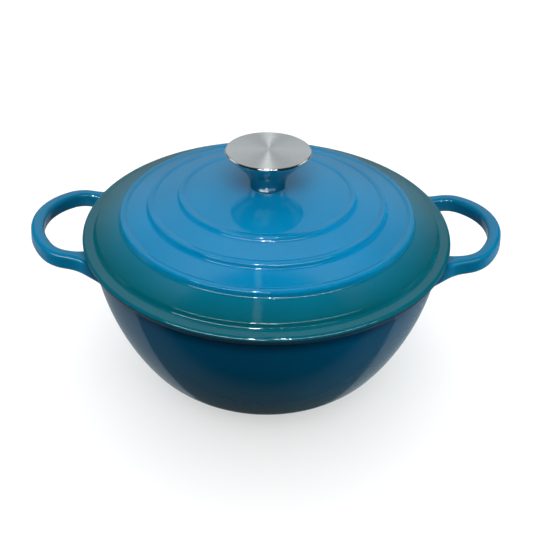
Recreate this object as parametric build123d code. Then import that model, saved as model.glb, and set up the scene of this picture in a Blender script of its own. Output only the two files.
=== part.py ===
from build123d import *
import os
from math import acos, asin, atan2, cos, degrees, hypot, radians, sin, sqrt, tan

# Covered casserole: a round enamelled cast-iron pot with two loop handles, a stepped domed
# lid, and a flared two-piece steel knob held by one screw. Millimetres, +Z up, with the
# origin at the centre of the flat base. The handles lie along X.

# ---- pot --------------------------------------------------------------------------------
POT_RIM_RADIUS = 126.6
POT_HEIGHT = 111.0
POT_WALL = 4.3
WALL_CURVE_RADIUS = 190.0        # profile radius of the side wall, upright at the rim
WALL_CURVE_TURN = 27.0           # degrees that the side wall turns before the heel
HEEL_RADIUS = 44.3               # profile radius where the wall turns under to the base
FOOT_RADIUS = 75.0
FOOT_EDGE = 0.8
POT_RIM_OUTER_EDGE = 1.6
POT_RIM_INNER_EDGE = 1.2

# ---- handles: one loop at each side, sloping up outwards --------------------------------
HANDLE_SLOPE = 10.0              # degrees
HANDLE_ROOT_X = 118.0
HANDLE_ROOT_HEIGHT = 102.6       # height of the loop's mid-plane at HANDLE_ROOT_X
HANDLE_REACH = 167.8             # how far out the loop's centre line goes
HANDLE_ARM_Y = 41.8
HANDLE_SHOULDER_RADIUS = 20.0
HANDLE_END_RADIUS = 51.0
HANDLE_WIDTH = 9.0
HANDLE_DEPTH = 12.4
HANDLE_CORNER = 3.2
FLARE_RADIUS = 25.0              # each arm widens in plan as it nears the wall
FLARE_TURN = {1: 30.0, -1: 46.0}  # degrees, on the loop's outside (1) and inside (-1)
FLARE_FROM_X = 137.5             # where the flares begin
HANDLE_START_X = 105.0           # the arms run on into the wall as far as this
HANDLE_ROOT_FILLET = 6.0
ROOT_TOLERANCE = 1.0             # how near the wall an edge of the root lies
TRIM_WIDTH = 20.0                # the root fillets are trimmed flat just above the arms
TRIM_RISE = 3.8
TRIM_OVER = 16.0                 # how far the wall is drawn above the rim before trimming

# ---- lid: outside -----------------------------------------------------------------------
LID_GAP = 0.3                    # clear space between the pot's rim and the lid's seat
LID_SEAT = POT_HEIGHT + LID_GAP
LID_RADIUS = 132.0
LID_DOME_RADIUS = 440.0
LID_CROWN = 143.6                # height of the innermost dome surface on the axis
RING_RADII = (61.6, 83.5, 103.1)
STEP_DROPS = (1.3, 1.9, 2.05)    # how far the dome surface steps down outside each ring
BEAD_RISES = (1.1, 1.1, 1.4)     # height of each ring's bead above the surface inside it
BEAD_INNER_FOOT = -3.3           # the bead's four corners, measured from the ring's radius
BEAD_INNER_TOP = -1.5
BEAD_OUTER_TOP = 1.3
BEAD_OUTER_FOOT = 2.3
BEAD_INNER_FOOT_FILLET = 1.6
BEAD_TOP_FILLET = 1.3
BEAD_OUTER_FOOT_FILLET = 1.8
SKIRT_RADIUS = 122.4
FLANGE_INNER_RADIUS = 123.8
FLANGE_TOP = 117.4
SKIRT_FILLET = 1.4
FLANGE_FILLET = 1.8
FLANGE_EDGE = 2.2

# ---- lid: underside ---------------------------------------------------------------------
SEAT_OUTER_RADIUS = 130.4
SEAT_SIDE_HEIGHT = 114.6
SEAT_EDGE = 1.2
LOCATING_OUTER_RADIUS = 120.7
LOCATING_INNER_RADIUS = 116.6
LOCATING_BOTTOM = 106.2
LOCATING_EDGE = 1.3
UNDERSIDE_DOME_RADIUS = 330.0
UNDERSIDE_CROWN = 139.2
UNDERSIDE_FILLET = 2.5

# ---- knob and its fixing ----------------------------------------------------------------
KNOB_SEAT = 143.5                # flat spot on the lid that the knob stands on
KNOB_SEAT_RADIUS = 13.4
KNOB_NECK_RADIUS = 12.6
KNOB_FOOT_EDGE = 1.0
KNOB_FLARE_RADIUS = 18.0
KNOB_FLARE_TURN = 43.0           # degrees from upright to the cone
KNOB_SHELL_TOP = 168.8
KNOB_SHELL_WALL = 1.4
CAP_RADIUS = 29.8
CAP_CROWN = 171.3
CAP_EDGE = 170.9
CAP_TOP_FILLET = 1.2
CAP_BOTTOM_FILLET = 0.5
CAP_SPIGOT_RADIUS = 24.4
CAP_SPIGOT_WALL = 1.4
CAP_SPIGOT_DEPTH = 1.8
BUSH_RADIUS = 7.0
BUSH_HEIGHT = 14.0
BUSH_EDGE = 0.6
THREAD_RADIUS = 3.0
THREAD_CLEARANCE = 0.05
THROUGH_HOLE_RADIUS = 3.3
WASHER_SPOT_RADIUS = 9.0
WASHER_SPOT_HEIGHT = 138.9
WASHER_RADIUS = 7.5
WASHER_THICKNESS = 1.4
LOCK_WASHER_RADIUS = 5.6
LOCK_WASHER_THICKNESS = 1.5
LOCK_WASHER_SPLIT = 0.9
LOCK_WASHER_LEAN = 30.0          # degrees that the split leans over
LOCK_WASHER_CUT = 4.5            # height of the box that cuts the split, clear of both faces
SCREW_HEAD_RADIUS = 5.7
SCREW_HEAD_HEIGHT = 3.6
SCREW_HEAD_EDGE = 1.6
SCREW_TOP = 156.0
RECESS_LENGTH = 6.4
RECESS_WIDTH = 1.2
RECESS_DEPTH = 1.9
FACE_GAP = 0.02                  # between pieces of one body that lie face to face


# ---- profiles: points are (radius, height) in the XZ plane ---------------------------------
def point(radius, height):
    return Vector(radius, 0, height)


def polyline(*corners):
    return Polyline(*[point(*corner) for corner in corners])


def arc(centre, radius, start, end):
    """Arc of the profile from angle start to angle end, in degrees from +X towards +Z."""
    places = []
    for angle in (start, (start + end) / 2, end):
        turn = radians(angle)
        places.append(point(centre[0] + radius * cos(turn), centre[1] + radius * sin(turn)))
    return ThreePointArc(*places)


def dome_height(crown, dome_radius, radius):
    return crown - dome_radius + sqrt(dome_radius**2 - radius**2)


def dome_arc(crown, dome_radius, start, end):
    """Arc of a dome that is centred on the axis, from radius start to radius end."""
    radii = (start, (start + end) / 2, end)
    return ThreePointArc(*[point(r, dome_height(crown, dome_radius, r)) for r in radii])


def turned(edges, rounding=()):
    """Solid of revolution of a closed profile, with (radius, height, size) corners rounded."""
    face = make_face(edges).face()
    for radius, height, size in rounding:
        corner = face.vertices().sort_by_distance(point(radius, height))[0]
        face = face.fillet_2d(size, [corner])
    return revolve(face, Axis.Z, 360).solid()


# ---- pot --------------------------------------------------------------------------------
WALL_CENTRE = (POT_RIM_RADIUS - WALL_CURVE_RADIUS, POT_HEIGHT)
HEEL_OFFSET = WALL_CURVE_RADIUS - HEEL_RADIUS
HEEL_CENTRE = (
    WALL_CENTRE[0] + HEEL_OFFSET * cos(radians(WALL_CURVE_TURN)),
    WALL_CENTRE[1] - HEEL_OFFSET * sin(radians(WALL_CURVE_TURN)),
)


def pot_body():
    """Outside of the pot, drawn on above the rim for rim_trim to finish."""
    foot_angle = -degrees(acos((FOOT_RADIUS - HEEL_CENTRE[0]) / HEEL_RADIUS))
    over_angle = degrees(asin(TRIM_OVER / WALL_CURVE_RADIUS))
    wall = arc(WALL_CENTRE, WALL_CURVE_RADIUS, over_angle, -WALL_CURVE_TURN)
    heel = arc(HEEL_CENTRE, HEEL_RADIUS, -WALL_CURVE_TURN, foot_angle)
    top, foot = wall @ 0, heel @ 1
    return turned(
        [
            polyline((0, top.Z), (top.X, top.Z)),
            wall,
            heel,
            polyline((foot.X, foot.Z), (foot.X, 0), (0, 0), (0, top.Z)),
        ],
        [(foot.X, 0, FOOT_EDGE)],
    )


def rim_trim():
    """Everything above the finished rim, down to just above the handle arms outside it."""
    above = POT_HEIGHT + 2 * TRIM_OVER
    edge = (POT_RIM_RADIUS - POT_RIM_OUTER_EDGE, POT_HEIGHT - POT_RIM_OUTER_EDGE)
    outer = POT_RIM_RADIUS + TRIM_WIDTH
    return turned(
        [
            polyline((0, above), (outer, above), (outer, edge[1] + TRIM_RISE)),
            polyline((outer, edge[1] + TRIM_RISE), (POT_RIM_RADIUS, edge[1])),
            arc(edge, POT_RIM_OUTER_EDGE, 0, 90),
            polyline((edge[0], POT_HEIGHT), (0, POT_HEIGHT), (0, above)),
        ]
    )


def pot_cavity():
    inner_radius = WALL_CURVE_RADIUS - POT_WALL
    lip_angle = -degrees(asin(POT_RIM_INNER_EDGE / inner_radius))
    wall = arc(WALL_CENTRE, inner_radius, lip_angle, -WALL_CURVE_TURN)
    lip = wall @ 0
    mouth = lip.X + POT_RIM_INNER_EDGE
    floor = HEEL_CENTRE[1] - HEEL_RADIUS + POT_WALL
    above = POT_HEIGHT + POT_WALL
    return turned(
        [
            polyline((0, above), (mouth, above), (mouth, POT_HEIGHT)),
            arc((mouth, lip.Z), POT_RIM_INNER_EDGE, 90, 180),
            wall,
            arc(HEEL_CENTRE, HEEL_RADIUS - POT_WALL, -WALL_CURVE_TURN, -90),
            polyline((HEEL_CENTRE[0], floor), (0, floor), (0, above)),
        ]
    )


def handle_outline(side):
    """One edge of the loop in plan: side is 1 outside the centre line and -1 inside it."""
    shift = side * HANDLE_WIDTH / 2
    end_radius = HANDLE_END_RADIUS + shift
    shoulder_radius = HANDLE_SHOULDER_RADIUS + shift
    arm_y = HANDLE_ARM_Y + shift
    end_x = HANDLE_REACH - HANDLE_END_RADIUS
    shoulder_y = HANDLE_ARM_Y - HANDLE_SHOULDER_RADIUS
    shoulder_x = end_x + sqrt((HANDLE_END_RADIUS - HANDLE_SHOULDER_RADIUS) ** 2 - shoulder_y**2)
    join = degrees(atan2(shoulder_y, shoulder_x - end_x))
    turn = FLARE_TURN[side]
    wide_x = FLARE_FROM_X - FLARE_RADIUS * sin(radians(turn))
    wide_y = arm_y + side * FLARE_RADIUS * (1 - cos(radians(turn)))
    start = (HANDLE_START_X, wide_y + side * (wide_x - HANDLE_START_X) * tan(radians(turn)))

    def arc_points(x, y, radius, angles):
        return [(x + radius * cos(radians(a)), y + radius * sin(radians(a))) for a in angles]

    flare_angles = [-side * (90 + part * turn) for part in (1, 0.5, 0)]
    flare_arc = arc_points(FLARE_FROM_X, arm_y + side * FLARE_RADIUS, FLARE_RADIUS, flare_angles)
    shoulder = arc_points(shoulder_x, shoulder_y, shoulder_radius, (90, (90 + join) / 2, join))
    tip = (end_x + end_radius, 0)
    return start, flare_arc, shoulder, tip


def mirrored(points):
    """The same points on the loop's other arm, in reverse order."""
    return [(x, -y) for x, y in reversed(points)]


def handle_edges(side):
    """The start of one edge of the loop, and the whole edge from that arm round to the other."""
    start, flare_arc, shoulder, tip = handle_outline(side)
    far_start, far_shoulder, far_flare = mirrored([start]), mirrored(shoulder), mirrored(flare_arc)
    return start, [
        Line(start, flare_arc[0]),
        ThreePointArc(*flare_arc),
        Line(flare_arc[2], shoulder[0]),
        ThreePointArc(*shoulder),
        ThreePointArc(shoulder[2], tip, far_shoulder[0]),
        ThreePointArc(*far_shoulder),
        Line(far_shoulder[2], far_flare[0]),
        ThreePointArc(*far_flare),
        Line(far_flare[2], far_start[0]),
    ]


def is_handle_corner(edge):
    """True for the edges along the loop's top and bottom, but not across the arms' ends."""
    middle = edge @ 0.5
    return abs(middle.Z) > HANDLE_CORNER and middle.X > HANDLE_START_X + ROOT_TOLERANCE


def handle_loop():
    """Loop on the +X side, cut from a plate that slopes up outwards, with rounded edges."""
    outer_start, outer = handle_edges(1)
    inner_start, inner = handle_edges(-1)
    starts = [outer_start, inner_start]
    face = make_face(outer + inner + [Line(*starts), Line(*mirrored(starts))]).face()
    slab = extrude(face, HANDLE_DEPTH / 2, both=True)
    slab = slab.fillet(HANDLE_CORNER, [edge for edge in slab.edges() if is_handle_corner(edge)])
    slope = Location((HANDLE_ROOT_X, 0, HANDLE_ROOT_HEIGHT)) * Rot(Y=-HANDLE_SLOPE)
    return slab.moved(slope * Location((-HANDLE_ROOT_X, 0, 0))).solid()


def is_handle_root(edge):
    """True for the edges where a handle arm meets the pot's wall."""
    return all(
        abs(hypot(place.X, place.Y) - POT_RIM_RADIUS) < ROOT_TOLERANCE
        and abs(place.Z - HANDLE_ROOT_HEIGHT) < HANDLE_DEPTH
        and abs(place.Y) > HANDLE_WIDTH
        for place in (edge @ 0, edge @ 0.5, edge @ 1)
    )


def pot():
    loop = handle_loop()
    solid = (pot_body() + loop + loop.mirror(Plane.YZ)).solid()
    solid = solid.fillet(HANDLE_ROOT_FILLET, [edge for edge in solid.edges() if is_handle_root(edge)])
    return (solid - rim_trim() - pot_cavity()).solid()


# ---- lid --------------------------------------------------------------------------------
def lid():
    edges = []
    rounding = []
    crown = LID_CROWN
    start = KNOB_SEAT_RADIUS
    edges.append(polyline((THROUGH_HOLE_RADIUS, KNOB_SEAT), (start, KNOB_SEAT)))
    seat_step = (start, dome_height(crown, LID_DOME_RADIUS, start))
    edges.append(polyline((start, KNOB_SEAT), seat_step))
    for radius, drop, rise in zip(RING_RADII, STEP_DROPS, BEAD_RISES):
        inner_foot = radius + BEAD_INNER_FOOT
        outer_foot = radius + BEAD_OUTER_FOOT
        surface = dome_height(crown, LID_DOME_RADIUS, inner_foot)
        top = dome_height(crown, LID_DOME_RADIUS, radius) + rise
        edges.append(dome_arc(crown, LID_DOME_RADIUS, start, inner_foot))
        crown -= drop
        below = dome_height(crown, LID_DOME_RADIUS, outer_foot)
        corners = [
            (inner_foot, surface),
            (radius + BEAD_INNER_TOP, top),
            (radius + BEAD_OUTER_TOP, top),
            (outer_foot, below),
        ]
        edges.append(polyline(*corners))
        sizes = (BEAD_INNER_FOOT_FILLET, BEAD_TOP_FILLET, BEAD_TOP_FILLET, BEAD_OUTER_FOOT_FILLET)
        rounding += [(*corner, size) for corner, size in zip(corners, sizes)]
        start = outer_foot
    skirt_foot = (SKIRT_RADIUS, dome_height(crown, LID_DOME_RADIUS, SKIRT_RADIUS))
    edges.append(dome_arc(crown, LID_DOME_RADIUS, start, SKIRT_RADIUS))
    underside_edge = dome_height(UNDERSIDE_CROWN, UNDERSIDE_DOME_RADIUS, LOCATING_INNER_RADIUS)
    spot_edge = dome_height(UNDERSIDE_CROWN, UNDERSIDE_DOME_RADIUS, WASHER_SPOT_RADIUS)
    edges.append(
        polyline(
            skirt_foot,
            (FLANGE_INNER_RADIUS, FLANGE_TOP),
            (LID_RADIUS, FLANGE_TOP),
            (LID_RADIUS, SEAT_SIDE_HEIGHT),
            (SEAT_OUTER_RADIUS, LID_SEAT),
            (LOCATING_OUTER_RADIUS, LID_SEAT),
            (LOCATING_OUTER_RADIUS, LOCATING_BOTTOM),
            (LOCATING_INNER_RADIUS, LOCATING_BOTTOM),
            (LOCATING_INNER_RADIUS, underside_edge),
        )
    )
    rounding += [
        (*skirt_foot, SKIRT_FILLET),
        (FLANGE_INNER_RADIUS, FLANGE_TOP, FLANGE_FILLET),
        (LID_RADIUS, FLANGE_TOP, FLANGE_EDGE),
        (LID_RADIUS, SEAT_SIDE_HEIGHT, SEAT_EDGE),
        (SEAT_OUTER_RADIUS, LID_SEAT, SEAT_EDGE),
        (LOCATING_OUTER_RADIUS, LOCATING_BOTTOM, LOCATING_EDGE),
        (LOCATING_INNER_RADIUS, LOCATING_BOTTOM, LOCATING_EDGE),
        (LOCATING_INNER_RADIUS, underside_edge, UNDERSIDE_FILLET),
    ]
    edges.append(
        dome_arc(UNDERSIDE_CROWN, UNDERSIDE_DOME_RADIUS, LOCATING_INNER_RADIUS, WASHER_SPOT_RADIUS)
    )
    edges.append(
        polyline(
            (WASHER_SPOT_RADIUS, spot_edge),
            (WASHER_SPOT_RADIUS, WASHER_SPOT_HEIGHT),
            (THROUGH_HOLE_RADIUS, WASHER_SPOT_HEIGHT),
            (THROUGH_HOLE_RADIUS, KNOB_SEAT),
        )
    )
    return turned(edges, rounding)


# ---- knob -------------------------------------------------------------------------------
SHELL_FLOOR = KNOB_SEAT + FACE_GAP
FLARE_CENTRE = (KNOB_NECK_RADIUS + KNOB_FLARE_RADIUS, SHELL_FLOOR + KNOB_FOOT_EDGE)


def flare(offset):
    """The flare's arc and the start of its cone, offset inwards from the outside."""
    return arc(FLARE_CENTRE, KNOB_FLARE_RADIUS + offset, 180, 180 - KNOB_FLARE_TURN)


def cone_end(flare_arc, height):
    """Where the cone that continues the flare reaches the given height."""
    start, direction = flare_arc @ 1, flare_arc % 1
    run = (height - start.Z) / direction.Z
    return (start.X + direction.X * run, height)


def knob_shell():
    outside, inside = flare(0), flare(KNOB_SHELL_WALL)
    floor_top = SHELL_FLOOR + KNOB_SHELL_WALL
    outer_rim, inner_rim = cone_end(outside, KNOB_SHELL_TOP), cone_end(inside, KNOB_SHELL_TOP)
    foot = (KNOB_NECK_RADIUS, SHELL_FLOOR)
    neck = KNOB_NECK_RADIUS - KNOB_SHELL_WALL
    outside_end, inside_end = outside @ 1, inside @ 1
    return turned(
        [
            polyline((THROUGH_HOLE_RADIUS, SHELL_FLOOR), foot, (foot[0], FLARE_CENTRE[1])),
            outside,
            polyline((outside_end.X, outside_end.Z), outer_rim),
            polyline(outer_rim, inner_rim),
            polyline(inner_rim, (inside_end.X, inside_end.Z)),
            inside,
            polyline(
                (neck, FLARE_CENTRE[1]),
                (neck, floor_top),
                (THROUGH_HOLE_RADIUS, floor_top),
                (THROUGH_HOLE_RADIUS, SHELL_FLOOR),
            ),
        ],
        [(*foot, KNOB_FOOT_EDGE)],
    )


def knob_cap():
    underside = KNOB_SHELL_TOP + FACE_GAP
    spigot_bottom = underside - CAP_SPIGOT_DEPTH
    spigot_bore = CAP_SPIGOT_RADIUS - CAP_SPIGOT_WALL
    crown = ThreePointArc(
        point(0, CAP_CROWN),
        point(CAP_RADIUS / 2, CAP_CROWN - (CAP_CROWN - CAP_EDGE) / 4),
        point(CAP_RADIUS, CAP_EDGE),
    )
    return turned(
        [
            crown,
            polyline(
                (CAP_RADIUS, CAP_EDGE),
                (CAP_RADIUS, underside),
                (CAP_SPIGOT_RADIUS, underside),
                (CAP_SPIGOT_RADIUS, spigot_bottom),
                (spigot_bore, spigot_bottom),
                (spigot_bore, underside),
                (0, underside),
                (0, CAP_CROWN),
            ),
        ],
        [(CAP_RADIUS, CAP_EDGE, CAP_TOP_FILLET), (CAP_RADIUS, underside, CAP_BOTTOM_FILLET)],
    )


def ring(inner, outer, bottom, top):
    return turned([polyline((inner, bottom), (outer, bottom), (outer, top), (inner, top), (inner, bottom))])


def knob_bush():
    bottom = SHELL_FLOOR + KNOB_SHELL_WALL + FACE_GAP
    bush = ring(THREAD_RADIUS, BUSH_RADIUS, bottom, bottom + BUSH_HEIGHT)
    circles = bush.edges().filter_by(GeomType.CIRCLE)
    outer = [edge for edge in circles if edge.radius > THREAD_RADIUS + BUSH_EDGE]
    return chamfer(outer, BUSH_EDGE).solid()


# ---- screw and washers, under the lid -----------------------------------------------------
WASHER_TOP = WASHER_SPOT_HEIGHT - FACE_GAP
WASHER_BOTTOM = WASHER_TOP - WASHER_THICKNESS
LOCK_WASHER_TOP = WASHER_BOTTOM - FACE_GAP
LOCK_WASHER_BOTTOM = LOCK_WASHER_TOP - LOCK_WASHER_THICKNESS
SCREW_HEAD_TOP = LOCK_WASHER_BOTTOM - FACE_GAP


def flat_washer():
    return ring(THROUGH_HOLE_RADIUS, WASHER_RADIUS, WASHER_BOTTOM, WASHER_TOP)


def lock_washer():
    washer = ring(THROUGH_HOLE_RADIUS, LOCK_WASHER_RADIUS, LOCK_WASHER_BOTTOM, LOCK_WASHER_TOP)
    middle = (LOCK_WASHER_BOTTOM + LOCK_WASHER_TOP) / 2
    box = Box(LOCK_WASHER_RADIUS * 2, LOCK_WASHER_SPLIT, LOCK_WASHER_CUT)
    split = Pos(LOCK_WASHER_RADIUS, 0, middle) * Rot(X=-LOCK_WASHER_LEAN) * box
    return (washer - split).solid()


def knob_screw():
    shank = THREAD_RADIUS - THREAD_CLEARANCE
    bottom = SCREW_HEAD_TOP - SCREW_HEAD_HEIGHT
    screw = turned(
        [
            polyline(
                (0, SCREW_TOP),
                (shank, SCREW_TOP),
                (shank, SCREW_HEAD_TOP),
                (SCREW_HEAD_RADIUS, SCREW_HEAD_TOP),
                (SCREW_HEAD_RADIUS, bottom),
                (0, bottom),
                (0, SCREW_TOP),
            )
        ],
        [(SCREW_HEAD_RADIUS, bottom, SCREW_HEAD_EDGE)],
    )
    slot = Pos(0, 0, bottom) * Box(RECESS_LENGTH, RECESS_WIDTH, RECESS_DEPTH * 2)
    return (screw - slot - Rot(Z=90) * slot).solid()


PARTS = {
    "pot": pot,
    "lid": lid,
    "knob_shell": knob_shell,
    "knob_cap": knob_cap,
    "knob_bush": knob_bush,
    "flat_washer": flat_washer,
    "lock_washer": lock_washer,
    "knob_screw": knob_screw,
}

os.makedirs("parts", exist_ok=True)
for name, make in PARTS.items():
    export_step(make(), f"parts/{name}.step")
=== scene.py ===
"""Looks for the covered casserole: graded gloss enamel with some painted shade and reflection,
turned steel and soft studio light.

Lengths are in metres. The camera sees a plain pale floor and backdrop; reflections and bounced
light see a dim room with a pale screen behind the object. Each group of lights reaches only the
pieces it is linked to, and those on the object give either diffuse light or highlights.
"""

from math import cos, pi, radians, sin

import bpy
from mathutils import Matrix, Vector


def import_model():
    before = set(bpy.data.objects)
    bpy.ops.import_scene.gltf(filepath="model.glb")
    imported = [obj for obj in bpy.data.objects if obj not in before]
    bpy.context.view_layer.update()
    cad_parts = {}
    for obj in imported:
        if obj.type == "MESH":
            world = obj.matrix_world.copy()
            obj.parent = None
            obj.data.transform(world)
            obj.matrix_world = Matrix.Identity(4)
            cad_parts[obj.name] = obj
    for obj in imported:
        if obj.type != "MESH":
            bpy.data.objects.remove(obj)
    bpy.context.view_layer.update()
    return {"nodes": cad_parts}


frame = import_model()
nodes = frame["nodes"]

# ---- camera -----------------------------------------------------------------------------
CAMERA_PLACE = Vector((-0.0056, -0.3833, 0.3518))
CAMERA_PAN = 0.0156          # radians, from +Y towards +X
CAMERA_TILT = 0.6309         # radians below the horizon
CAMERA_ROLL = 0.0215         # radians
CAMERA_LENS = 41.09
CAMERA_NEAR = 0.01
SENSOR_WIDTH = 36.0

# ---- room, as reflections see it --------------------------------------------------------
BACKDROP = (0.985, 0.985, 0.985)   # what the camera sees in its place
ROOM_TINT = (0.92, 0.97, 1.0)
ROOM_RADIANCE = 0.02
SCREEN_SIDES = (0.80, 0.42)        # radians from +Y over which the pale screen fades in
# The next three are sines of elevations over which the screen changes.
SCREEN_TOP = (0.885, 0.835)        # its upper edge fades in
SCREEN_RISE = (-0.05, 0.35)        # it brightens from the horizon up
SCREEN_CROWN = (0.68, 0.80)        # it brightens once more near the top
SCREEN_LEVELS = (0.25, 0.54, 0.24)  # radiance at the horizon, at mid height, and added near the top

# ---- floor ------------------------------------------------------------------------------
FLOOR_REACH = 6.0                  # half its width
FLOOR_PAINT = (0.9, 0.9, 0.9)      # what the camera sees
FLOOR_TINT = (0.88, 1.0, 1.06)     # the rest is what reflections see
FLOOR_FRONT = (-0.160, -0.125)     # along Y, where it rises from dark to its level by the foot
FLOOR_BACK = (-0.086, -0.081)      # along Y, where it rises to its level beside and behind the pot
FLOOR_NEAR = 0.10                  # radiance by the foot
FLOOR_REAR = 0.35                  # radiance beside and behind the pot
# painted shadow: reflections see the floor darker in an oval under the pot and behind it
SHADE_SCALE = (0.65, 1.0, 0.0)     # a darker oval under the pot and behind it
SHADE_SHIFT = (0.0, -0.06, 0.0)
SHADE_EDGE = (0.085, 0.105)
FLOOR_FILL = 2.9                   # sun strengths, one without shadows and one with
FLOOR_SHADOW = 0.9
FLOOR_LIGHT_ANGLE = 90             # degrees


# ---- node helpers -----------------------------------------------------------------------
class Shader:
    """Builds one node material, with short calls for the nodes it needs."""

    def __init__(self, name):
        self.material = bpy.data.materials.new(name)
        self.material.use_nodes = True
        self.tree = self.material.node_tree
        self.tree.nodes.clear()
        self.output = self.tree.nodes.new("ShaderNodeOutputMaterial")

    @classmethod
    def over(cls, tree):
        """The same short calls over a node tree that already exists."""
        made = cls.__new__(cls)
        made.tree = tree
        return made

    def node(self, kind, inputs=None, **settings):
        made = self.tree.nodes.new("ShaderNode" + kind)
        for key, value in settings.items():
            setattr(made, key, value)
        for key, value in (inputs or {}).items():
            self.feed(made.inputs[key], value)
        return made

    def feed(self, socket, value):
        if isinstance(value, bpy.types.NodeSocket):
            self.tree.links.new(value, socket)
        else:
            socket.default_value = value

    def math(self, operation, *values):
        return self.node("Math", dict(enumerate(values)), operation=operation).outputs[0]

    def ramp(self, value, low, high, out_low=0.0, out_high=1.0, smooth=False):
        kind = "SMOOTHSTEP" if smooth else "LINEAR"
        inputs = {0: value, 1: low, 2: high, 3: out_low, 4: out_high}
        return self.node("MapRange", inputs, interpolation_type=kind).outputs[0]

    def mix(self, factor, first, second, blend="MIX"):
        inputs = {0: factor, 6: first, 7: second}
        return self.node("Mix", inputs, data_type="RGBA", blend_type=blend).outputs[2]

    def noise(self, vector, scale, detail, dimensions="3D"):
        key = "W" if dimensions == "1D" else "Vector"
        inputs = {key: vector, "Scale": scale, "Detail": detail}
        return self.node("TexNoise", inputs, noise_dimensions=dimensions).outputs[0]

    def object_position(self):
        return self.node("TexCoord").outputs["Object"]

    def place(self):
        """Object-space position, its distance from the Z axis, and its height."""
        position = self.object_position()
        return position, self.length(self.flat(position)), self.part(position, 2)

    def part(self, vector, axis):
        """One of the vector's three parts."""
        return self.node("SeparateXYZ", {0: vector}).outputs[axis]

    def length(self, vector):
        return self.node("VectorMath", {0: vector}, operation="LENGTH").outputs["Value"]

    def flat(self, vector):
        """The vector with its height left out."""
        inputs = {0: vector, 1: (1.0, 1.0, 0.0)}
        return self.node("VectorMath", inputs, operation="MULTIPLY").outputs[0]

    def bump(self, height, distance):
        return self.node("Bump", {"Height": height, "Distance": distance}).outputs[0]

    def camera_or(self, seen, felt):
        """One shader for the camera's own rays and another for all other light."""
        own = self.node("LightPath").outputs["Is Camera Ray"]
        inputs = {0: own, 1: felt.outputs[0], 2: seen.outputs[0]}
        return self.node("MixShader", inputs).outputs[0]

    def finish(self, links, **values):
        shader = self.node("BsdfPrincipled")
        for key, value in values.items():
            shader.inputs[key.replace("_", " ")].default_value = value
        for key, value in links.items():
            self.feed(shader.inputs[key], value)
        self.tree.links.new(shader.outputs[0], self.output.inputs[0])
        return self.material


def rgb(red, green, blue):
    return (red, green, blue, 1.0)


NOISE_BAND = (0.3, 0.7)            # the part of a noise's range over which its effect runs

# ---- enamel -----------------------------------------------------------------------------
CROWN_BLUE = rgb(0.001, 0.214, 0.445)
BAND_BLUE = rgb(0.001, 0.205, 0.415)
SKIRT_TOP = rgb(0.001, 0.135, 0.215)
SKIRT_FOOT = rgb(0.001, 0.095, 0.128)
FLANGE_TEAL = rgb(0.001, 0.106, 0.148)
EDGE_NAVY = rgb(0.001, 0.045, 0.085)
HANDLE_BLUE = rgb(0.003, 0.190, 0.370)
# painted shade: the top of the pot's wall darkened where the lid's overhang shades it
POT_RIM_SHADE = rgb(0.0005, 0.040, 0.090)
POT_NAVY = rgb(0.001, 0.066, 0.145)
POT_MIDDLE = rgb(0.001, 0.078, 0.145)
# greener tone near the foot: partly the glaze's own, partly painted reflection of the pale floor
POT_FOOT_TONE_AND_REFLECTION = rgb(0.020, 0.085, 0.085)
BARE_EDGE = rgb(0.030, 0.028, 0.030)
CREAM = rgb(0.72, 0.66, 0.54)

ENAMEL_IOR = 1.5
BARE_ROUGHNESS = 0.42              # added where the enamel is thin and matt, on rims and foot
CLOUD = (18.0, 3.0)                # scale and detail of the unevenness in colour
CLOUD_TONE = (0.93, 1.05)
RIPPLE = (120.0, 2.0)              # scale and detail of the ripple in the glaze
RIPPLE_DEPTH = 0.00006
GLOSS = (45.0, 4.0)                # scale and detail of the unevenness in gloss
GLOSS_ROUGHNESS = (0.030, 0.060)

# Each pair is where one look gives way to the next: by radius, by height, or as said.
CROWN_TO_BAND = (0.080, 0.106)
PLATEAU_TO_SKIRT = (0.1045, 0.1058)
DOWN_THE_SKIRT = (0.107, 0.122)
SKIRT_TO_FLANGE = (0.1225, 0.125)
EDGE_BELOW = (0.1164, 0.1154)
EDGE_BEYOND = (0.1205, 0.1215)
LID_FACES_DOWN = (0.05, -0.05)     # height of the normal
LID_HOLLOW = (0.1215, 0.1205)
# heights over which the foot's tone and painted floor reflection give way to the body
POT_LOWER = (0.002, 0.045)
POT_UPPER = (0.05, 0.10)
# heights over which the painted shade under the lid's overhang comes in
POT_TO_RIM_SHADE = (0.0985, 0.1065)
POT_TO_HANDLE = (0.1275, 0.136)
POT_FACES_IN = (0.0, 0.004)        # how far the normal turns to the axis, in metres
UPWARD_SHARE = 0.1                 # metres added to that for a normal that points up
POT_HOLLOW = (0.1228, 0.1222)
POT_HOLLOW_TOP = (0.1100, 0.1092)
LIP_ABOVE = (0.1100, 0.1106)
LIP_WITHIN = (0.1272, 0.1266)
FOOT_BELOW = (0.0012, 0.0006)


def enamel_surface(shader, position, color, bare):
    """Gloss enamel: slightly uneven colour and gloss, and a faint ripple in the glaze."""
    tone = shader.ramp(shader.noise(position, *CLOUD), *NOISE_BAND, *CLOUD_TONE)
    grey = shader.node("CombineColor", {0: tone, 1: tone, 2: tone}).outputs[0]
    gloss = shader.ramp(shader.noise(position, *GLOSS), *NOISE_BAND, *GLOSS_ROUGHNESS)
    return {
        "Base Color": shader.mix(1.0, color, grey, "MULTIPLY"),
        "Roughness": shader.math("MULTIPLY_ADD", bare, BARE_ROUGHNESS, gloss),
        "Normal": shader.bump(shader.noise(position, *RIPPLE), RIPPLE_DEPTH),
    }


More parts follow.
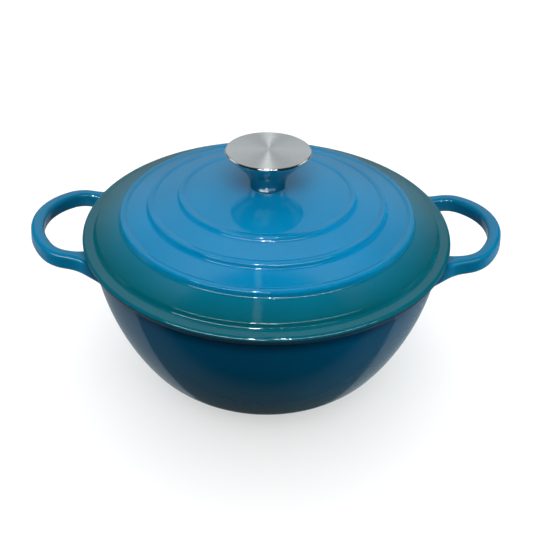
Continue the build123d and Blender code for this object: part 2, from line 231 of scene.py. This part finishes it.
def lid_enamel():
    """Blue plateau, teal skirt and flange, a dark edge below, and pale enamel underneath."""
    shader = Shader("lid_enamel")
    position, radius, height = shader.place()
    plateau = shader.mix(shader.ramp(radius, *CROWN_TO_BAND), CROWN_BLUE, BAND_BLUE)
    slope = shader.mix(shader.ramp(radius, *DOWN_THE_SKIRT), SKIRT_TOP, SKIRT_FOOT)
    skirt = shader.mix(shader.ramp(radius, *SKIRT_TO_FLANGE), slope, FLANGE_TEAL)
    color = shader.mix(shader.ramp(radius, *PLATEAU_TO_SKIRT), plateau, skirt)
    edge = shader.math(
        "MULTIPLY", shader.ramp(height, *EDGE_BELOW), shader.ramp(radius, *EDGE_BEYOND)
    )
    outside = shader.mix(edge, color, EDGE_NAVY)
    facing = shader.part(shader.node("TexCoord").outputs["Normal"], 2)
    inner = shader.math(
        "MULTIPLY", shader.ramp(facing, *LID_FACES_DOWN), shader.ramp(radius, *LID_HOLLOW)
    )
    color = shader.mix(inner, outside, CREAM)
    return shader.finish(enamel_surface(shader, position, color, edge), IOR=ENAMEL_IOR)


def pot_enamel():
    """Navy body, painted shade under the lid, greener base with painted floor reflection, blue
    handles, bare rim and foot, pale inside.
    """
    shader = Shader("pot_enamel")
    position, radius, height = shader.place()
    upper = shader.mix(shader.ramp(height, *POT_UPPER), POT_MIDDLE, POT_NAVY)
    # greener near the foot: the glaze's tone with painted floor reflection
    body = shader.mix(shader.ramp(height, *POT_LOWER), POT_FOOT_TONE_AND_REFLECTION, upper)
    # painted shade of the lid's overhang, darkening the top of the wall
    body = shader.mix(shader.ramp(height, *POT_TO_RIM_SHADE, smooth=True), body, POT_RIM_SHADE)
    handle = shader.mix(shader.ramp(radius, *POT_TO_HANDLE), body, HANDLE_BLUE)
    normal = shader.node("TexCoord").outputs["Normal"]
    outward = shader.node(
        "VectorMath", {0: normal, 1: shader.flat(position)}, operation="DOT_PRODUCT"
    ).outputs["Value"]
    upward = shader.math("MULTIPLY", shader.part(normal, 2), UPWARD_SHARE)
    inward = shader.math("SUBTRACT", upward, outward)
    inside = shader.math(
        "MULTIPLY", shader.ramp(inward, *POT_FACES_IN), shader.ramp(radius, *POT_HOLLOW)
    )
    inside = shader.math("MULTIPLY", inside, shader.ramp(height, *POT_HOLLOW_TOP))
    color = shader.mix(inside, handle, CREAM)
    lip = shader.math(
        "MULTIPLY", shader.ramp(height, *LIP_ABOVE), shader.ramp(radius, *LIP_WITHIN)
    )
    bare = shader.math("MAXIMUM", lip, shader.ramp(height, *FOOT_BELOW))
    color = shader.mix(bare, color, BARE_EDGE)
    return shader.finish(enamel_surface(shader, position, color, bare), IOR=ENAMEL_IOR)


# ---- steel ------------------------------------------------------------------------------
MARKS = (5200.0, 3.0)              # scale and detail of the tool marks
MARKS_PER_HEIGHT = 1.3             # height counts this much against radius, for steep faces
ACROSS_MARKS = 0.25                # turns, so that highlights fan out from the axis
POLISH_FADE = 0.0006
POLISH = -0.6                      # change in roughness at the polished edge, as a share


def turned_steel(name, tint, roughness, anisotropy, groove, polished_from=None):
    """Steel with fine concentric tool marks about the Z axis, and perhaps a polished edge."""
    shader = Shader(name)
    _, radius, height = shader.place()
    along = shader.math("ADD", radius, shader.math("MULTIPLY", height, MARKS_PER_HEIGHT))
    marks = shader.noise(along, *MARKS, dimensions="1D")
    rough = shader.ramp(marks, *NOISE_BAND, *roughness)
    if polished_from is not None:
        edge = shader.ramp(radius, polished_from, polished_from + POLISH_FADE)
        rough = shader.math("MULTIPLY", rough, shader.math("MULTIPLY_ADD", edge, POLISH, 1.0))
    links = {
        "Roughness": rough,
        "Normal": shader.bump(marks, groove),
        "Tangent": shader.node("Tangent", direction_type="RADIAL", axis="Z").outputs[0],
    }
    return shader.finish(
        links,
        Base_Color=tint,
        Metallic=1.0,
        Anisotropic=anisotropy,
        Anisotropic_Rotation=ACROSS_MARKS,
    )


looks = {
    "pot": pot_enamel(),
    "lid": lid_enamel(),
    "knob_shell": turned_steel(
        "polished_steel", rgb(0.46, 0.48, 0.49), (0.14, 0.20), anisotropy=0.3, groove=0.000002
    ),
    "knob_cap": turned_steel(
        "brushed_steel",
        rgb(0.86, 0.885, 0.88),
        (0.27, 0.38),
        anisotropy=0.92,
        groove=0.00001,
        polished_from=0.0288,
    ),
}
hardware = turned_steel(
    "zinc_hardware", rgb(0.62, 0.62, 0.60), (0.2, 0.3), anisotropy=0.2, groove=0.000004
)
for name, piece in nodes.items():
    piece.data.materials.clear()
    piece.data.materials.append(looks.get(name, hardware))


# ---- stage ------------------------------------------------------------------------------
def floor():
    """A plain pale floor to the camera, and a darker graded one to reflections, with a painted
    shadow under the pot.
    """
    mesh = bpy.data.meshes.new("floor")
    signs = ((-1, -1), (1, -1), (1, 1), (-1, 1))
    corners = [(across * FLOOR_REACH, along * FLOOR_REACH, 0) for across, along in signs]
    mesh.from_pydata(corners, [], [(0, 1, 2, 3)])
    ground = bpy.data.objects.new("floor", mesh)
    bpy.context.scene.collection.objects.link(ground)
    shader = Shader("floor")
    seen = shader.node("BsdfDiffuse", {"Color": rgb(*FLOOR_PAINT)})
    position = shader.object_position()
    along = shader.part(position, 1)
    front = shader.ramp(along, *FLOOR_FRONT, 0.0, FLOOR_NEAR, smooth=True)
    back = shader.ramp(along, *FLOOR_BACK, 0.0, FLOOR_REAR - FLOOR_NEAR, smooth=True)
    inputs = {0: position, 1: SHADE_SCALE, 2: SHADE_SHIFT}
    offset = shader.node("VectorMath", inputs, operation="MULTIPLY_ADD").outputs[0]
    clear = shader.ramp(shader.length(offset), *SHADE_EDGE, smooth=True)
    radiance = shader.math("ADD", front, shader.math("MULTIPLY", back, clear))
    felt = shader.node("Emission", {0: rgb(*FLOOR_TINT), 1: radiance})
    shader.tree.links.new(shader.camera_or(seen, felt), shader.output.inputs[0])
    mesh.materials.append(shader.material)
    return ground


def world():
    """A dim room with a pale screen behind the object, and a plain pale backdrop to look at."""
    made = bpy.data.worlds.new("studio")
    made.use_nodes = True
    tree = made.node_tree
    tree.nodes.clear()
    room = Shader.over(tree)
    output = tree.nodes.new("ShaderNodeOutputWorld")
    across, along, up = room.node(
        "SeparateXYZ", {0: room.node("TexCoord").outputs["Generated"]}
    ).outputs
    turn = room.math("ABSOLUTE", room.math("ARCTAN2", across, along))
    horizon, middle, extra = SCREEN_LEVELS
    level = room.math(
        "ADD",
        room.ramp(up, *SCREEN_RISE, horizon, middle),
        room.ramp(up, *SCREEN_CROWN, 0.0, extra),
    )
    level = room.math("MULTIPLY", level, room.ramp(turn, *SCREEN_SIDES, smooth=True))
    level = room.math("MULTIPLY", level, room.ramp(up, *SCREEN_TOP, smooth=True))
    strength = room.math("ADD", level, ROOM_RADIANCE)
    felt = room.node("Background", {0: rgb(*ROOM_TINT), 1: strength})
    seen = room.node("Background", {0: rgb(*BACKDROP), 1: 1.0})
    tree.links.new(room.camera_or(seen, felt), output.inputs[0])
    bpy.context.scene.world = made


# ---- lights -----------------------------------------------------------------------------
AIM = Vector((0.0, 0.0, 0.13))     # all softboxes face the top of the lid
WINDOW_TINT = (0.82, 0.97, 1.0)


def reach_only(name, pieces, lamps):
    """Lets the lamps light only the given pieces."""
    receivers = bpy.data.collections.new(name)
    for piece in pieces:
        receivers.objects.link(piece)
    for lamp in lamps:
        lamp.light_linking.receiver_collection = receivers


def softbox(name, place, width, height, radiance, level=False):
    """A rectangular lamp whose face gives the stated radiance; a level one faces straight down."""
    data = bpy.data.lights.new(name, "AREA")
    data.shape = "RECTANGLE"
    data.size = width
    data.size_y = height
    data.energy = radiance * width * height * pi
    lamp = bpy.data.objects.new(name, data)
    lamp.location = place
    if not level:
        lamp.rotation_euler = (AIM - Vector(place)).to_track_quat("-Z", "Y").to_euler()
    lamp.visible_camera = False
    bpy.context.scene.collection.objects.link(lamp)
    return lamp


def diffuse_box(*settings):
    """A softbox that lights surfaces without showing as a highlight."""
    lamp = softbox(*settings)
    lamp.visible_glossy = False
    return lamp


def gloss_box(*settings, **choices):
    """A softbox that shows only as a highlight."""
    lamp = softbox(*settings, **choices)
    lamp.visible_diffuse = False
    return lamp


def floor_sun(name, energy, casts):
    """Even light for the floor, so that it stays plain and pale."""
    data = bpy.data.lights.new(name, "SUN")
    data.energy = energy
    data.angle = radians(FLOOR_LIGHT_ANGLE)
    data.use_shadow = casts
    lamp = bpy.data.objects.new(name, data)
    bpy.context.scene.collection.objects.link(lamp)
    return lamp


ground = floor()
world()
reach_only("floor_only", [ground], [
    floor_sun("floor_fill", FLOOR_FILL, False),
    floor_sun("floor_shadow", FLOOR_SHADOW, True),
])
reach_only("object_only", nodes.values(), [
    diffuse_box("key_light", (0.0, 0.5, 1.4), 1.3, 0.9, 1.3),
    diffuse_box("top_light", (0.0, -0.5, 0.8), 0.6, 0.5, 6.3),
    diffuse_box("left_light", (-1.4, -0.3, 0.25), 0.9, 0.9, 5.0),
    diffuse_box("right_light", (1.4, -0.3, 0.25), 0.9, 0.9, 5.0),
])
enamel_highlights = [
    gloss_box("window", (-1.0, -1.9, 1.45), 2.4, 0.22, 26.0),
    gloss_box("far_window", (0.9, -2.0, 1.75), 2.2, 0.16, 15.0),
    gloss_box("lamp", (-0.28, -1.9, 1.9), 0.12, 0.4, 170.0),
    gloss_box("tube", (-0.05, -0.35, 1.9), 0.055, 2.6, 0.6, level=True),
]
for lamp in enamel_highlights:
    lamp.data.color = WINDOW_TINT
reach_only("enamel_only", [nodes["pot"], nodes["lid"]], enamel_highlights)
reach_only("steel_only", [nodes["knob_cap"], nodes["knob_shell"]], [
    gloss_box("steel_front", (-0.03, -1.5, 1.3), 1.5, 0.25, 12.0),
    gloss_box("steel_left", (-1.6, 0.5, 1.0), 1.0, 0.8, 1.2),
    gloss_box("steel_right", (1.6, 0.5, 1.0), 1.0, 0.8, 1.2),
    gloss_box("steel_tube", (-0.02, 0.45, 1.9), 0.05, 1.0, 12.0, level=True),
])


# ---- camera -----------------------------------------------------------------------------
def camera():
    ahead = Vector(
        (sin(CAMERA_PAN) * cos(CAMERA_TILT), cos(CAMERA_PAN) * cos(CAMERA_TILT), -sin(CAMERA_TILT))
    )
    level = Vector((cos(CAMERA_PAN), -sin(CAMERA_PAN), 0.0))
    above = level.cross(ahead)
    right = level * cos(CAMERA_ROLL) + above * sin(CAMERA_ROLL)
    up = right.cross(ahead)
    data = bpy.data.cameras.new("camera")
    data.lens = CAMERA_LENS
    data.sensor_width = SENSOR_WIDTH
    data.clip_start = CAMERA_NEAR
    seen_from = bpy.data.objects.new("camera", data)
    turn = Matrix((right, up, -ahead)).transposed().to_4x4()
    seen_from.matrix_world = Matrix.Translation(CAMERA_PLACE) @ turn
    bpy.context.scene.collection.objects.link(seen_from)
    bpy.context.scene.camera = seen_from


camera()
bpy.context.scene.view_settings.view_transform = "Standard"
